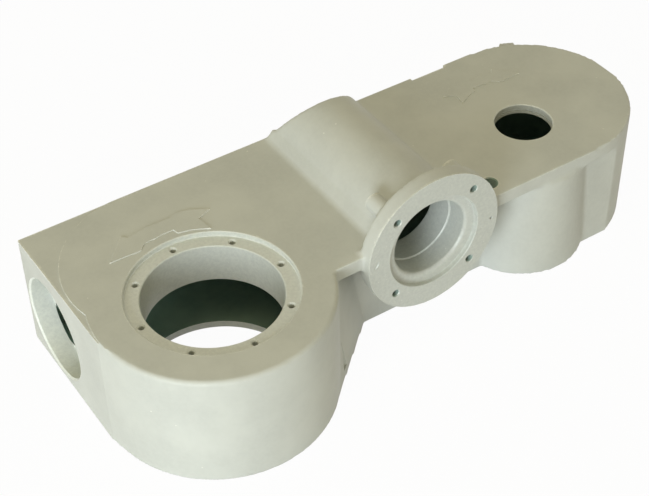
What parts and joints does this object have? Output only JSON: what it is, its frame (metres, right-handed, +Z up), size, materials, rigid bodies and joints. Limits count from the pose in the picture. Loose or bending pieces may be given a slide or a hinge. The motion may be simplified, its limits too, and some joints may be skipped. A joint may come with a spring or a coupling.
{
  "type": "gearbox housing",
  "caption": "Long cast gearbox housing with a round drum at one end, a flanged shaft tube across its middle and a round bored end.",
  "frame": {"origin": "on the main bore's axis, in the base plane", "axes": "+X along the housing to its round right end, -Y out of the motor flange, +Z up out of the main bore"},
  "size_m": [0.594, 0.2593, 0.179],
  "materials": {
    "cast_aluminium": "sand-cast and shot-blasted light grey aluminium, with finely turned bores and flange face"
  },
  "bodies": {
    "root": {"gearbox_housing": "cast_aluminium"}
  },
  "joints": []
}
